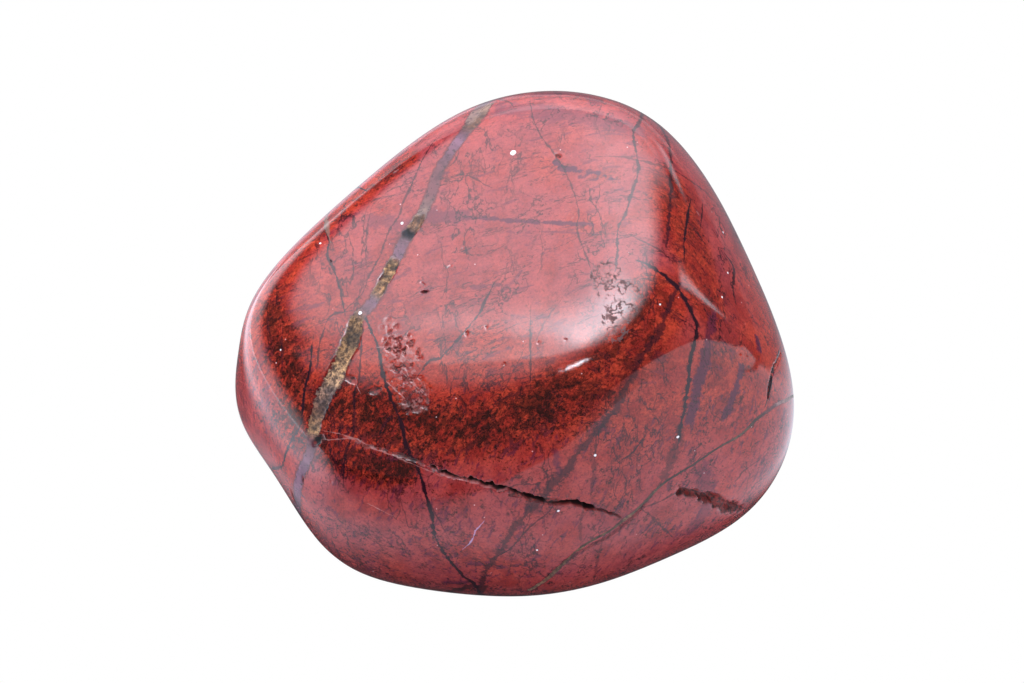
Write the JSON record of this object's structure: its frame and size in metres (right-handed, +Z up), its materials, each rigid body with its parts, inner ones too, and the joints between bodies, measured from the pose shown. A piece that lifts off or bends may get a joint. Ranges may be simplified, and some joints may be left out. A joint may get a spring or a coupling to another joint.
{
  "type": "tumbled jasper stone",
  "caption": "Tumbled red jasper pebble with rounded faces, a brown vein, an open crack, small pits and an edge chip, lying on a small flat spot.",
  "frame": {"origin": "middle of the stone's box at the plane of the flat spot that it lies on", "axes": "+X along the stone's width, to the right as seen from the front; +Y away from the front; +Z up, out of the flat spot"},
  "size_m": [0.03, 0.0266, 0.0249],
  "materials": {
    "jasper": "polished"
  },
  "bodies": {
    "root": {"jasper_stone": "jasper"}
  },
  "joints": []
}
